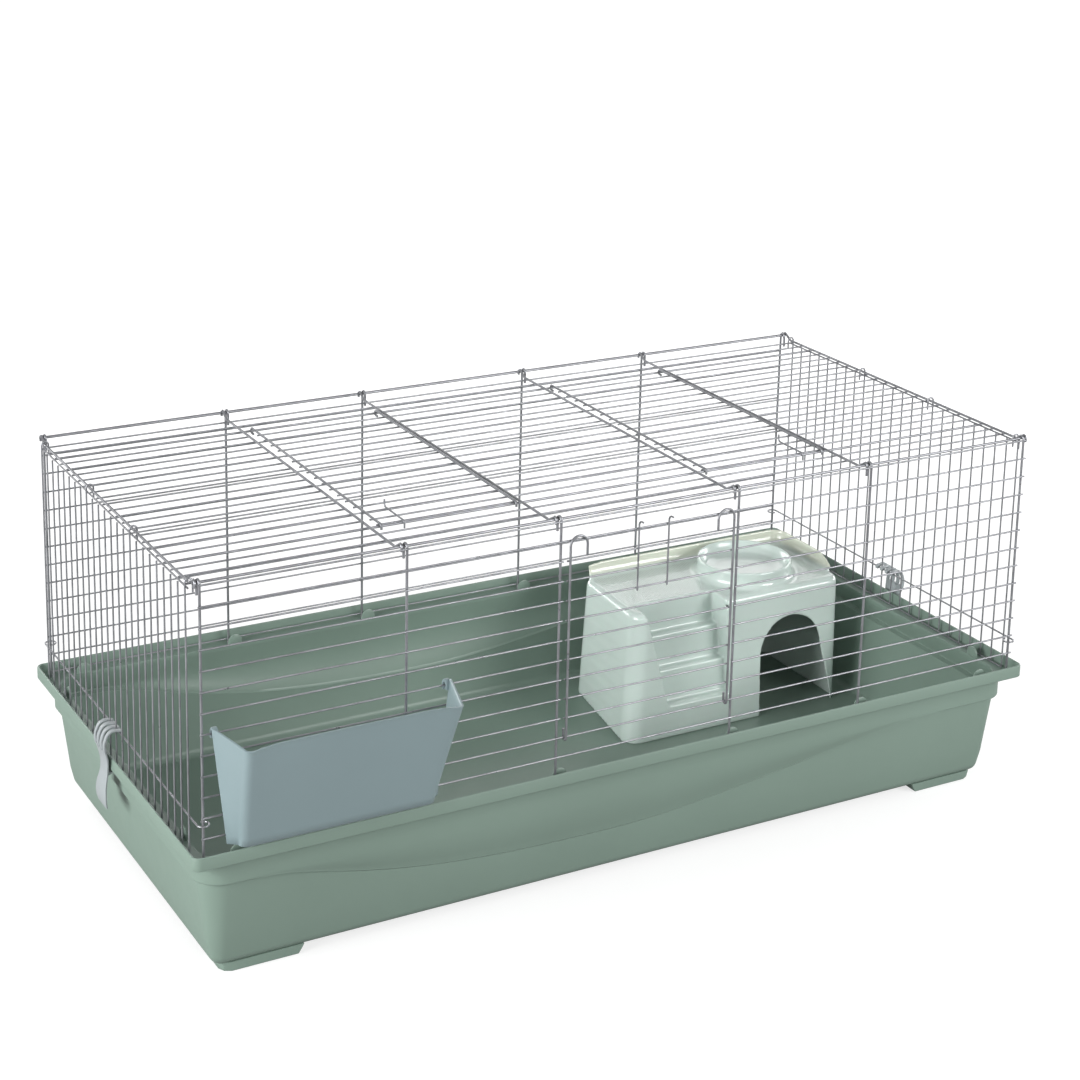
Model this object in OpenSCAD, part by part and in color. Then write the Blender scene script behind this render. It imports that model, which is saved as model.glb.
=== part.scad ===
// Wire rabbit cage: a deep plastic tray, a welded wire top hooked together from panels, two roof
// doors, a front door, two side clips, a hay rack and a hide house with steps.
// Origin: centre of the bounding box, on the floor; the hay rack on the front counts in that box.
// X runs along the length, -Y is the front, +Z is up.

/* [Tray] */
// Length over the rim
tray_length = 1180; // [1000:10:1300]
// Width over the rim
tray_width = 585; // [540:5:640]
// Height of the rim's top above the floor
tray_height = 172; // [150:1:200]
// Wall thickness of the tray
tray_wall = 2.5; // [2:0.5:4]
// Height of the rim's outer band
rim_band = 16; // [14:1:20]
// Height of the stepped band below the rim
step_band = 30; // [20:1:40]
// Height of the moulded feet
foot_height = 10; // [6:1:16]

/* [Wire top] */
// Spacing of the horizontal bars in the front and back panels
bar_pitch = 25; // [22:0.5:26]
// Number of horizontal bars above the rim
bar_count = 13; // [13:1:14]
// Diameter of posts and roof cross wires
post_d = 3.2; // [3:0.1:3.6]
// Diameter of the bars and side uprights
bar_d = 2.2; // [2:0.1:2.4]
// Number of uprights in each side panel
upright_count = 24; // [20:1:26]
// Width of the bay that holds the front door
door_bay = 250; // [220:5:280]
// Width of each bay that holds a roof door
roof_bay = 200; // [180:5:220]

/* [Doors] */
// Diameter of the door frame wires
door_d = 3; // [2.6:0.1:3]
// Width of the front door between its side wires
front_door_w = 230; // [200:5:232]
// Roof bar that carries the roof door hinges, counted from the back
hinge_bar = 3; // [2:1:5]
// Roof bar that the roof doors close on, counted from the back
rest_bar = 20; // [16:1:21]

/* [Accessories] */
// Width of the hay rack at its back
rack_w = 295; // [240:5:320]
// Depth of the hay rack at its top
rack_depth = 68; // [50:1:80]
// Width of the side clips
clip_w = 38; // [30:1:44]
// Length of the hide house
house_l = 360; // [300:5:380]
// Depth of the hide house
house_w = 200; // [180:5:215]
// Height of the hide house without its dish
house_h = 187; // [160:1:200]
// Height of the upright flange round the back of its deck
flange_h = 20; // [8:1:24]
// Outside diameter of the dish on the hide house
dish_d = 136; // [110:2:140]

/* [Hidden] */
$fn = 48;
weld_gap = 0.05;
rim_wall = 3;
rim_radius = 10;
half_l = tray_length / 2;
half_w = tray_width / 2;
channel_z = tray_height - rim_band + 1;
channel_in = 21;
step_z = tray_height - rim_band - step_band;
band_in = 12;
body_in = 19;
floor_z = foot_height + tray_wall;
bottom_in = 33;
band_radius = 36;
bottom_radius = 14;

post_y = half_w - 15;
corner_x = half_l - 17;
side_x = half_l - 8;
first_bar_z = tray_height + 16;
bar_y = post_y + (post_d + bar_d) / 2 + weld_gap;
top_z = first_bar_z + (bar_count - 1) * bar_pitch;
hook_r = 4.5;
hook_tail = 15;
frame_y = post_y - hook_r;
frame_z = top_z + hook_r - post_d - weld_gap;

inner_posts = [-door_bay / 2 - roof_bay, -door_bay / 2, door_bay / 2, door_bay / 2 + roof_bay];
post_xs = [-corner_x, each inner_posts, corner_x];
cross_offset = 6;
edge_x = side_x - hook_r;
roof_reach = edge_x + 2.5;
cross_xs = [-edge_x, each [for (x = inner_posts) x - cross_offset], edge_x];
cross_z = top_z - 3.5;
cross_end_z = frame_z + (post_d + bar_d) / 2 + 0.6;
cross_end_y = frame_y + post_d + weld_gap;
cross_flat_y = post_y - 19;
roof_bar_z = cross_z - (post_d + bar_d) / 2 - weld_gap;
thick_bar_z = cross_z - (post_d + door_d) / 2 - weld_gap;
roof_pitch = 2 * post_y / 24;
upright_span = 2 * (post_y - 20);
upright_pitch = upright_span / (upright_count - 1);
hooked_uprights = [0, floor(upright_count / 3), upright_count - 1 - floor(upright_count / 3),
                   upright_count - 1];
side_bar_x = side_x - bar_d - weld_gap;
eye_r = side_bar_x - corner_x;
clip_wire_z = first_bar_z + 17;
bar_stub = 3;
cut_stub = 2.8;

door_gap = 0.3;
roof_door_z = thick_bar_z + door_d + door_gap;
roof_door_bar_z = roof_door_z - (door_d + bar_d) / 2 - weld_gap;
left_door_xs = [cross_xs[1] + 16, cross_xs[2] - 5.5];
right_door_xs = [cross_xs[3] + 16, cross_xs[4] - 5.5];
hinge_y = post_y - hinge_bar * roof_pitch;
rest_y = post_y - rest_bar * roof_pitch;
latch_inset = 30;

front_hinge_z = first_bar_z + bar_pitch;
front_hinge_r = 3.4;
front_side_y = -bar_y - front_hinge_r;
cane_r = 11.5;
front_door_bar_y = front_side_y + (door_d + bar_d) / 2 + weld_gap;

wall_gap = 2.2;
rack_x = (-corner_x + inner_posts[1]) / 2 - 68;
rack_back_y = -bar_y - bar_d / 2 - wall_gap;
rack_bottom_z = tray_height + 4;
rack_top_z = first_bar_z + 5 * bar_pitch + 8;
rack_wall = 2.5;
rack_foot_depth = 18;
rack_hook_z = first_bar_z + 5 * bar_pitch;
front_reach = rack_depth - rack_back_y;
centre_shift = (front_reach - half_w) / 2;

house_end_gap = 74;
house_back_gap = 80;
house_x = half_l - house_end_gap - house_l / 2;
house_y = half_w - house_back_gap - house_w / 2;
house_z = floor_z + 0.3;
house_wall = 3;
dish_h = 24;

sage = "#7d9085";
zinc = "#9a9ca0";
blue_grey = "#8596a0";
mint = "#bdd0c6";
clip_grey = "#b0b6ba";

// ---- wires -----------------------------------------------------------------------------------

// A wire along X, Y or Z between two coordinates.
module x_wire(x0, x1, y, z, d) {
  translate([x0, y, z]) rotate([0, 90, 0]) cylinder(h = x1 - x0, d = d);
}

module y_wire(x, y0, y1, z, d) {
  translate([x, y0, z]) rotate([-90, 0, 0]) cylinder(h = y1 - y0, d = d);
}

module z_wire(x, y, z0, z1, d) {
  translate([x, y, z0]) cylinder(h = z1 - z0, d = d);
}

// Moves a piece from the tray's own centre to the middle of the bounding box.
module placed() {
  translate([0, centre_shift, 0]) children();
}

// A sloped length of wire in a plane of constant X.
module slope_wire(x, y0, z0, y1, z1, d) {
  run = y1 - y0;
  rise = z1 - z0;
  translate([x, y0, z0]) rotate([-atan2(run, rise), 0, 0]) cylinder(h = norm([run, rise]), d = d);
}

// A round bend of wire about the origin, in the XY plane, from the +X side anticlockwise.
module bend(r, d, angle) {
  rotate_extrude(angle = angle) translate([r, 0]) circle(d = d);
}

// The same bend stood up in the YZ plane, from the +Y side over the top.
module bend_yz(r, d, angle, start = 0) {
  rotate([90, 0, 90]) rotate([0, 0, start]) bend(r, d, angle);
}

// The same bend stood up in the XZ plane, from the +X side over the top.
module bend_xz(r, d, angle, start = 0) {
  rotate([90, 0, 0]) rotate([0, 0, start]) bend(r, d, angle);
}

// ---- tray --------------------------------------------------------------------------------------

module rounded_rect(hx, hy, r) {
  for (s = [-1, 1]) translate([s * (hx - r), 0]) square([2 * r, 2 * (hy - r)], center = true);
  square([2 * (hx - r), 2 * hy], center = true);
  for (sx = [-1, 1], sy = [-1, 1]) translate([sx * (hx - r), sy * (hy - r)]) circle(r = r);
}

module ring(inset_out, inset_in, r_out, r_in) {
  difference() {
    rounded_rect(half_l - inset_out, half_w - inset_out, r_out);
    rounded_rect(half_l - inset_in, half_w - inset_in, r_in);
  }
}

// Half section of the tray wall: distance in from the band's face, against height.
function arc_points(cx, cy, r, a0, a1, n) = [for (i = [0:n]) let(a = a0 + (a1 - a0) * i / n)
  [cx + r * cos(a), cy + r * sin(a)]];

wall_drop = bottom_in - band_in;
body_step = body_in - band_in;
function wall_section() = concat(
  [[0, channel_z - 1], [0, step_z], [-body_step, step_z - 2]],
  arc_points(-wall_drop - bottom_radius, foot_height + bottom_radius, bottom_radius, -8, -90, 6),
  [[-wall_drop - bottom_radius, floor_z]],
  arc_points(-wall_drop - bottom_radius, floor_z + bottom_radius - tray_wall,
             bottom_radius - tray_wall, -90, -8, 6),
  [[-body_step - tray_wall, step_z + 2], [-body_step - tray_wall, channel_z - 1]]);

module wall_run(length) {
  rotate([90, 0, 90]) linear_extrude(height = length, center = true) polygon(wall_section());
}

module wall_corner() {
  rotate_extrude(angle = 90) translate([band_radius, 0]) polygon(wall_section());
}

module retaining_tab() {
  translate([0, 0, channel_z - 1]) rotate([90, 0, 0]) linear_extrude(height = 2, center = true)
    difference() {
      circle(r = 10);
      translate([0, -10]) square([24, 20], center = true);
    }
  translate([0, 0, channel_z + 3]) rotate([90, 0, 0])
    linear_extrude(height = 2, center = true)
      intersection() {
        circle(r = 10);
        translate([0, 6]) square([24, 14], center = true);
      }
}

module foot() {
  rotate([90, 0, 0]) linear_extrude(height = 46, center = true)
    polygon([[-46, 0], [46, 0], [52, floor_z - 0.1], [-52, floor_z - 0.1]]);
}

module tray() {
  band_x = half_l - band_in;
  band_y = half_w - band_in;
  flat_in = bottom_in + bottom_radius;
  color(sage) placed() union() {
    translate([0, 0, channel_z - 1]) linear_extrude(height = rim_band)
      ring(0, rim_wall, rim_radius, rim_radius - rim_wall);
    translate([0, 0, channel_z - 3]) linear_extrude(height = 3)
      ring(1, channel_in, rim_radius - 1, band_radius - channel_in + band_in);
    for (s = [-1, 1]) {
      translate([0, s * band_y, 0]) rotate([0, 0, s > 0 ? 0 : 180])
        wall_run(2 * (band_x - band_radius));
      translate([s * band_x, 0, 0]) rotate([0, 0, s > 0 ? -90 : 90])
        wall_run(2 * (band_y - band_radius));
    }
    for (i = [0:3]) {
      sx = (i == 0 || i == 3) ? 1 : -1;
      sy = i < 2 ? 1 : -1;
      translate([sx * (band_x - band_radius), sy * (band_y - band_radius), 0])
        rotate([0, 0, 90 * i]) wall_corner();
    }
    translate([0, 0, foot_height]) linear_extrude(height = tray_wall)
      rounded_rect(half_l - flat_in + 1, half_w - flat_in + 1, 2);
    for (sx = [-1, 1], sy = [-1, 1])
      translate([sx * (half_l - 93), sy * (half_w - 62), 0]) foot();
    for (x = [-corner_x + 43, each [for (p = inner_posts) p + 8], corner_x - 43], s = [-1, 1])
      translate([x, s * (half_w - channel_in + 2), 0]) retaining_tab();
    for (s = [-1, 1], y = [-post_y + 68, post_y - 68])
      translate([s * (half_l - channel_in + 2), y, 0]) rotate([0, 0, 90]) retaining_tab();
  }
}

// ---- wire panels -------------------------------------------------------------------------------

// One post, standing in the rim channel, hooked over the roof frame at its top.
module hooked_post(x) {
  z_wire(x, -post_y, channel_z + weld_gap, top_z, post_d);
  translate([x, -post_y + hook_r, top_z]) bend_yz(hook_r, post_d, 180);
  z_wire(x, -post_y + 2 * hook_r, top_z - hook_tail, top_z, post_d);
}

module front_panel_posts() {
  color(zinc) placed() for (x = post_xs) hooked_post(x);
}

module back_panel_posts() {
  color(zinc) placed() mirror([0, 1, 0]) for (x = post_xs) hooked_post(x);
}

function bar_z(k) = first_bar_z + k * bar_pitch;
last_bar = bar_count - 1;
full_bar = corner_x + bar_stub;
channel_bar_z = channel_z + bar_d / 2 + 5;

module front_panel_bars() {
  color(zinc) placed() {
    for (k = [0, 1, last_bar - 1, last_bar]) x_wire(-full_bar, full_bar, -bar_y, bar_z(k), bar_d);
    x_wire(-full_bar, full_bar, -bar_y, channel_bar_z, bar_d);
    for (k = [2:last_bar - 2]) {
      x_wire(-full_bar, -door_bay / 2 + bar_stub, -bar_y, bar_z(k), bar_d);
      x_wire(door_bay / 2 - bar_stub, full_bar, -bar_y, bar_z(k), bar_d);
    }
  }
}

module back_panel_bars() {
  color(zinc) placed() {
    for (k = [0:last_bar]) x_wire(-full_bar, full_bar, bar_y, bar_z(k), bar_d);
    x_wire(-full_bar, full_bar, bar_y, channel_bar_z, bar_d);
  }
}

// Side panels are drawn for the left side and mirrored to the right.
module side_uprights() {
  for (i = [0:upright_count - 1]) {
    y = -upright_span / 2 + i * upright_pitch;
    hooked = len([for (h = hooked_uprights) if (h == i) h]) > 0;
    z_wire(-side_x, y, channel_z + weld_gap, hooked ? cross_z : cross_z - 6, bar_d);
    if (hooked) {
      translate([-side_x + hook_r, y, cross_z]) bend_xz(hook_r, bar_d, 180);
      z_wire(-side_x + 2 * hook_r, y, cross_z - 12, cross_z, bar_d);
    }
  }
}

module side_bars() {
  reach = upright_span / 2 + bar_stub;
  y_wire(-side_bar_x, -reach, reach, top_z - 9, bar_d);
  y_wire(-side_bar_x, -reach, reach, channel_z + bar_d / 2 + weld_gap, bar_d);
}

// The clip wire ends in an eye round each corner post.
module side_clip_wire() {
  y_wire(-side_bar_x, -post_y, post_y, clip_wire_z, bar_d);
  for (s = [0, 1]) mirror([0, s, 0]) translate([-corner_x, post_y, clip_wire_z])
    rotate([0, 0, -90]) bend(eye_r, bar_d, 270);
}

module left_panel_uprights() {
  color(zinc) placed() side_uprights();
}

module left_panel_bars() {
  color(zinc) placed() side_bars();
}

module left_clip_wire() {
  color(zinc) placed() side_clip_wire();
}

module right_panel_uprights() {
  color(zinc) placed() mirror([1, 0, 0]) side_uprights();
}

module right_panel_bars() {
  color(zinc) placed() mirror([1, 0, 0]) side_bars();
}

module right_clip_wire() {
  color(zinc) placed() mirror([1, 0, 0]) side_clip_wire();
}

// ---- roof --------------------------------------------------------------------------------------

module roof_frame_wires() {
  color(zinc) placed() for (s = [-1, 1]) x_wire(-roof_reach, roof_reach, s * frame_y, frame_z, post_d);
}

// Each cross wire rises at both ends and turns down over the roof's front and back wires.
module cross_wire(x) {
  end_r = 4;
  knee_y = cross_end_y - end_r;
  y_wire(x, -cross_flat_y, cross_flat_y, cross_z, post_d);
  for (s = [-1, 1]) mirror([0, s > 0 ? 0 : 1, 0]) {
    translate([x, cross_flat_y, cross_z]) sphere(d = post_d);
    slope_wire(x, cross_flat_y, cross_z, knee_y, cross_end_z, post_d);
    translate([x, knee_y, cross_end_z]) sphere(d = post_d);
    translate([x, knee_y, cross_end_z - end_r]) bend_yz(end_r, post_d, 90);
    z_wire(x, cross_end_y, frame_z - 5, cross_end_z - end_r, post_d);
  }
}

module roof_cross_wires() {
  color(zinc) placed() for (x = cross_xs) cross_wire(x);
}

// The bars that carry the door hinges and that the doors close on are as thick as the door wires.
module roof_bars() {
  color(zinc) placed() for (k = [1:23]) {
    y = post_y - k * roof_pitch;
    if (k > hinge_bar && k < rest_bar) {
      x_wire(-roof_reach, cross_xs[1] + cut_stub, y, roof_bar_z, bar_d);
      x_wire(cross_xs[2] - cut_stub, cross_xs[3] + cut_stub, y, roof_bar_z, bar_d);
      x_wire(cross_xs[4] - cut_stub, roof_reach, y, roof_bar_z, bar_d);
    } else {
      thick = k == hinge_bar || k == rest_bar;
      x_wire(-roof_reach, roof_reach, y, thick ? thick_bar_z : roof_bar_z, thick ? door_d : bar_d);
    }
  }
}

// ---- roof doors --------------------------------------------------------------------------------

// Side wires that wrap the hinge bar at the back and curl over the rest bar at the front, and the
// front wire just behind that bar.
door_end = 1.9;
module roof_door_frame(xs) {
  wrap_r = door_d + door_gap;
  for (x = xs) {
    y_wire(x, rest_y, hinge_y, roof_door_z, door_d);
    translate([x, hinge_y, thick_bar_z]) mirror([0, 1, 0]) bend_yz(wrap_r, door_d, 180, 90);
    y_wire(x, hinge_y - 4, hinge_y, thick_bar_z - wrap_r, door_d);
    translate([x, rest_y, thick_bar_z]) bend_yz(wrap_r, door_d, 90, 90);
    z_wire(x, rest_y - wrap_r, thick_bar_z - 3, thick_bar_z, door_d);
  }
  x_wire(xs[0] - cut_stub, xs[1] + door_end, rest_y + 4, roof_door_z - door_d - weld_gap, door_d);
}

module roof_door_bars(xs) {
  for (k = [hinge_bar + 1:rest_bar - 1])
    x_wire(xs[0] - cut_stub, xs[1] + door_end, post_y - k * roof_pitch, roof_door_bar_z, bar_d);
}

// A prong over the front wire and the rest bar, with a raised finger end behind.
module roof_door_latch(x) {
  latch_z = roof_door_bar_z + bar_d + weld_gap;
  curl_r = latch_z - thick_bar_z;
  bend_y = rest_y + 2 * roof_pitch + 2;
  finger_r = 4;
  y_wire(x, rest_y, bend_y, latch_z, bar_d);
  translate([x, bend_y, latch_z + finger_r]) bend_yz(finger_r, bar_d, 90, 270);
  z_wire(x, bend_y + finger_r, latch_z + finger_r, latch_z + finger_r + 5, bar_d);
  translate([x, rest_y, thick_bar_z]) bend_yz(curl_r, bar_d, 90, 90);
  z_wire(x, rest_y - curl_r, thick_bar_z - 6, thick_bar_z, bar_d);
}

module left_roof_door_frame() {
  color(zinc) placed() roof_door_frame(left_door_xs);
}

module left_roof_door_bars() {
  color(zinc) placed() roof_door_bars(left_door_xs);
}

module left_roof_door_latch() {
  color(zinc) placed() roof_door_latch(left_door_xs[0] + latch_inset);
}

module right_roof_door_frame() {
  color(zinc) placed() roof_door_frame(right_door_xs);
}

module right_roof_door_bars() {
  color(zinc) placed() roof_door_bars(right_door_xs);
}

module right_roof_door_latch() {
  color(zinc) placed() roof_door_latch(right_door_xs[1] - latch_inset);
}

// ---- front door --------------------------------------------------------------------------------

// Side wires: a hook under the hinge bar at the bottom, a cane-shaped spring loop at the top.
module front_door_side_wires() {
  cane_z = bar_z(last_bar - 1) - 6;
  color(zinc) placed() for (s = [-1, 1]) mirror([s > 0 ? 0 : 1, 0, 0]) {
    x = front_door_w / 2;
    z_wire(x, front_side_y, front_hinge_z, cane_z, door_d);
    translate([x, -bar_y, front_hinge_z]) bend_yz(front_hinge_r, door_d, 180, 180);
    z_wire(x, -bar_y + front_hinge_r, front_hinge_z, front_hinge_z + 10, door_d);
    translate([x - cane_r, front_side_y, cane_z]) bend_xz(cane_r, door_d, 180);
    z_wire(x - 2 * cane_r, front_side_y, cane_z - 14, cane_z, door_d);
  }
}

module front_door_bars() {
  reach = front_door_w / 2 + bar_stub;
  color(zinc) placed() for (k = [2:last_bar - 2])
    x_wire(-reach, reach, front_door_bar_y, bar_z(k), bar_d);
}

module front_door_latch_wires() {
  latch_y = front_door_bar_y - bar_d - weld_gap;
  tip_z = bar_z(last_bar - 1) + 5;
  tip_r = 6;
  color(zinc) placed() for (x = [-21, 21]) {
    z_wire(x, latch_y, bar_z(last_bar - 4) - bar_stub, tip_z, bar_d);
    translate([x, latch_y - tip_r, tip_z]) bend_yz(tip_r, bar_d, 90);
    y_wire(x, latch_y - tip_r - 3, latch_y - tip_r, tip_z + tip_r, bar_d);
  }
}

// ---- hay rack ----------------------------------------------------------------------------------

// Outline of the rack: a wide open back, rounded front corners, leaning in toward the bottom.
module rack_form(inset, rise) {
  r = 9;
  hull() for (level = [0, 1]) {
    half = rack_w / 2 - 13 * (1 - level) - inset;
    depth = (level > 0 ? rack_depth : rack_foot_depth) - inset;
    z = level > 0 ? rack_top_z + rise : rack_bottom_z + inset;
    translate([rack_x, rack_back_y, z]) for (s = [-1, 1]) {
      translate([s * (half - 0.5), inset > 0 ? 0.5 : -0.5, 0])
        cube([1, 1, 0.02], center = true);
      translate([s * (half - 15 - r), -depth + r, -0.01]) cylinder(r = r, h = 0.02, $fn = 32);
    }
  }
}

module rack_hook() {
  rotate([90, 0, 90]) linear_extrude(height = 6, center = true) difference() {
    translate([-7, -5]) square([14, 13]);
    translate([1.2, 0]) circle(d = bar_d + 0.8);
    translate([1.2 - bar_d / 2 - 0.4, -6]) square([bar_d + 0.8, 6]);
  }
}

module hay_rack() {
  color(blue_grey) placed() {
    difference() {
      rack_form(0, 0);
      rack_form(rack_wall, 1);
    }
    for (s = [-1, 1])
      translate([rack_x + s * (rack_w / 2 - 5), -bar_y - 1.2, rack_hook_z]) rack_hook();
  }
}

// ---- side clips --------------------------------------------------------------------------------

// S-shaped lever in the XZ plane: tines hooked on the clip wire, a waist and a nib at the rim, and
// a flared finger end. Its profile is drawn outward from the clip wire.
clip_t = 3;
clip_bore = bar_d / 2 + 0.3;
clip_reach = half_l - side_bar_x;
clip_line = [[2.9, 2.9], [8, 4], [clip_reach + 3.8, 0], [clip_reach + 8, -8], [clip_reach + 9, -16],
  [clip_reach + 7, -26], [clip_reach + 4.4, -36], [clip_reach + 3.8, -45],
  [clip_reach + 4.4, -56], [clip_reach + 7.4, -68], [clip_reach + 8.6, -79],
  [clip_reach + 7.6, -89], [clip_reach + 5, -96]];

function heading(p, q) = (q - p) / norm(q - p);
function strip_side(pts, off) = [for (i = [0:len(pts) - 1])
  let(d = heading(pts[max(i - 1, 0)], pts[min(i + 1, len(pts) - 1)])) pts[i] + off * [-d[1], d[0]]];

module clip_profile() {
  nib_z = channel_z - 3.8 - clip_wire_z;
  hook_d = clip_bore + clip_t;
  outside = strip_side(clip_line, clip_t / 2);
  inside = strip_side(clip_line, -clip_t / 2);
  polygon(concat(arc_points(0, 0, hook_d, 204, 75, 8), [for (i = [1:12]) outside[i]],
    [for (i = [12:-1:8]) inside[i]],
    [[clip_reach - 3.5, nib_z - 1.6], [clip_reach - 3.5, nib_z], [clip_reach + 2.5, nib_z]],
    [for (i = [7:-1:1]) inside[i]], arc_points(0, 0, hook_d, -5, -70, 4),
    [[0.5, -0.9], [-1.25, -0.55]]));
}

module side_clip() {
  waist_r = 36;
  slot_w = 5.2;
  translate([-side_bar_x, 0, clip_wire_z]) mirror([1, 0, 0]) difference() {
    rotate([90, 0, 0]) linear_extrude(height = clip_w, center = true) clip_profile();
    rotate([90, 0, 0]) cylinder(h = clip_w + 2, r = clip_bore, center = true);
    for (i = [-1:1]) translate([-6, i * upright_pitch / 2 - slot_w / 2, -19])
      cube([30, slot_w, 30]);
    for (s = [-1, 1]) translate([0, s * (clip_w / 2 + waist_r - 6), -45]) rotate([0, 90, 0])
      cylinder(h = 40, r = waist_r);
  }
}

module left_side_clip() {
  color(clip_grey) placed() side_clip();
}

module right_side_clip() {
  color(clip_grey) placed() mirror([1, 0, 0]) side_clip();
}

// ---- hide house --------------------------------------------------------------------------------

// Outline levels: corner points front left, front right, back right, back left, and a height.
half_house = house_l / 2;
deep_house = house_w / 2;
house_r = 22;
deck_soft = 8;
function house_level(h) = let(t = h / house_h) [
  [half_house + 2 * t, -deep_house + 8 * t], [half_house + 2 * t, deep_house - 30 * t],
  [-half_house + 32 - 10 * t, deep_house - 30 * t], [-half_house + 14 * t, -deep_house + 8 * t]];

// Moves its children to each corner of one level of the house, margin inside the outline.
module at_corners(h, margin) {
  pts = house_level(h);
  for (i = [0:3]) {
    sx = i < 2 ? -1 : 1;
    sy = (i == 0 || i == 3) ? 1 : -1;
    translate([pts[i][0] + sx * margin, pts[i][1] + sy * margin, 0]) children();
  }
}

// Tapered body with rounded upright corners and a soft edge round its deck.
module house_form(inset, drop) {
  hull() {
    translate([0, 0, -inset]) at_corners(0, house_r) cylinder(r = house_r - inset, h = 0.5, $fn = 32);
    translate([0, 0, house_h - deck_soft - drop]) at_corners(house_h - deck_soft, house_r)
      cylinder(r = house_r - inset, h = 0.5, $fn = 32);
    translate([0, 0, house_h - drop - 0.5]) at_corners(house_h, house_r)
      cylinder(r = house_r - inset - 0.8 * deck_soft, h = 0.5, $fn = 32);
  }
}

// Thin upright flange along the back and the right of the deck.
module deck_flange() {
  left = -half_house + 36;
  front = -deep_house + 18;
  side = half_house - 30;
  translate([0, 0, house_h - 1.3]) linear_extrude(height = flange_h + 1.3) intersection() {
    difference() {
      hull() at_corners(house_h, house_r) circle(house_r - deck_soft, $fn = 32);
      hull() at_corners(house_h, house_r) circle(house_r - deck_soft - 3, $fn = 32);
    }
    polygon([[left, 0], [side, 0], [side, front], [half_house + 9, front],
      [half_house + 9, deep_house], [left, deep_house]]);
  }
}

module arch_doorway() {
  translate([0, -deep_house + 50, 0]) rotate([90, 0, 0]) linear_extrude(height = 80) {
    polygon(concat([[half_house - 137, -1], [half_house - 9, -1]],
      arc_points(half_house - 86, house_h - 95, 51, 0, 180, 16)));
  }
}

// Steps let into the front face. Their sides lean by the given amounts over lean_height.
stair_x0 = -half_house + 31;
stair_x1 = -18;
stair_bottom = 46;
stair_top = 230;
stair_ahead = 30;
left_lean = 40;
right_lean = 12;
lean_height = 150;
first_step_depth = 19;
step_depth = 14;
module stair_space(grow) {
  rise = (house_h + 2 - stair_bottom) / 3;
  for (i = [0:2]) hull() for (z = [stair_bottom + i * rise - grow, stair_top]) {
    lean = (house_h + 2 - z) / lean_height;
    width = stair_x1 - stair_x0 + 2 * grow - (left_lean - right_lean) * lean;
    translate([stair_x0 - grow + left_lean * lean, -deep_house - stair_ahead, z])
      cube([width, stair_ahead + first_step_depth + step_depth * i + grow, 0.5]);
  }
}

dish_x = 64;
dish_y = -13;
module dish() {
  rotate_extrude() polygon([[0, 0], [dish_d / 2 - 3, 0], [dish_d / 2, dish_h],
    [dish_d / 2 - 4, dish_h], [dish_d / 2 - 12, 8], [dish_d / 2 - 24, 5], [0, 5]]);
}

module hide_house() {
  color(mint) placed() translate([house_x, house_y, house_z]) difference() {
    union() {
      difference() {
        house_form(0, 0);
        difference() {
          house_form(house_wall, house_wall);
          stair_space(house_wall);
        }
      }
      translate([dish_x, dish_y, house_h - 1]) dish();
      deck_flange();
    }
    arch_doorway();
    stair_space(0);
  }
}

// ---- nodes -------------------------------------------------------------------------------------

tray();
front_panel_posts();
front_panel_bars();
back_panel_posts();
back_panel_bars();
left_panel_uprights();
left_panel_bars();
left_clip_wire();
right_panel_uprights();
right_panel_bars();
right_clip_wire();
roof_frame_wires();
roof_cross_wires();
roof_bars();
left_roof_door_frame();
left_roof_door_bars();
left_roof_door_latch();
right_roof_door_frame();
right_roof_door_bars();
right_roof_door_latch();
front_door_side_wires();
front_door_bars();
front_door_latch_wires();
hay_rack();
left_side_clip();
right_side_clip();
hide_house();
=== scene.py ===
"""Looks for the wire rabbit cage: detailed moulded tray, hay rack, side clips and hide house built
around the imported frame, with procedural materials on every piece."""
import math

import bmesh
import bpy
from mathutils import Matrix, Vector


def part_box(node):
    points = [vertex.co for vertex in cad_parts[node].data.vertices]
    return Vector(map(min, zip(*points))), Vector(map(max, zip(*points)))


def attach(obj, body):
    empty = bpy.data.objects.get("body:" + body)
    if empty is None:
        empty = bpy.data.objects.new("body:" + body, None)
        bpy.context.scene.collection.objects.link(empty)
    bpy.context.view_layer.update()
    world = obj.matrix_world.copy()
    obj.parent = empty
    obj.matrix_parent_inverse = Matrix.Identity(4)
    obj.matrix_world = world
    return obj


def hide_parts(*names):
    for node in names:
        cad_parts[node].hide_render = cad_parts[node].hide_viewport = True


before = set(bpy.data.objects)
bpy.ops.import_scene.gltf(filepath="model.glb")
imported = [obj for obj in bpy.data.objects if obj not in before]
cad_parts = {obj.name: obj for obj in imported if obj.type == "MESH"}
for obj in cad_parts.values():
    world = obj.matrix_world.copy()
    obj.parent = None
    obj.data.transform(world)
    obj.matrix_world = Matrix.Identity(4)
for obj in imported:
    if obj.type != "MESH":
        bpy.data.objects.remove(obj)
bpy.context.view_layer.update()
MM = 0.001
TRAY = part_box("tray")
MID_Y = (TRAY[0].y + TRAY[1].y) / 2  # the tray's own centre line, in the shared frame
WHITE = (1, 1, 1, 1)


# ---- camera, lights and stage ------------------------------------------------------------------

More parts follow.
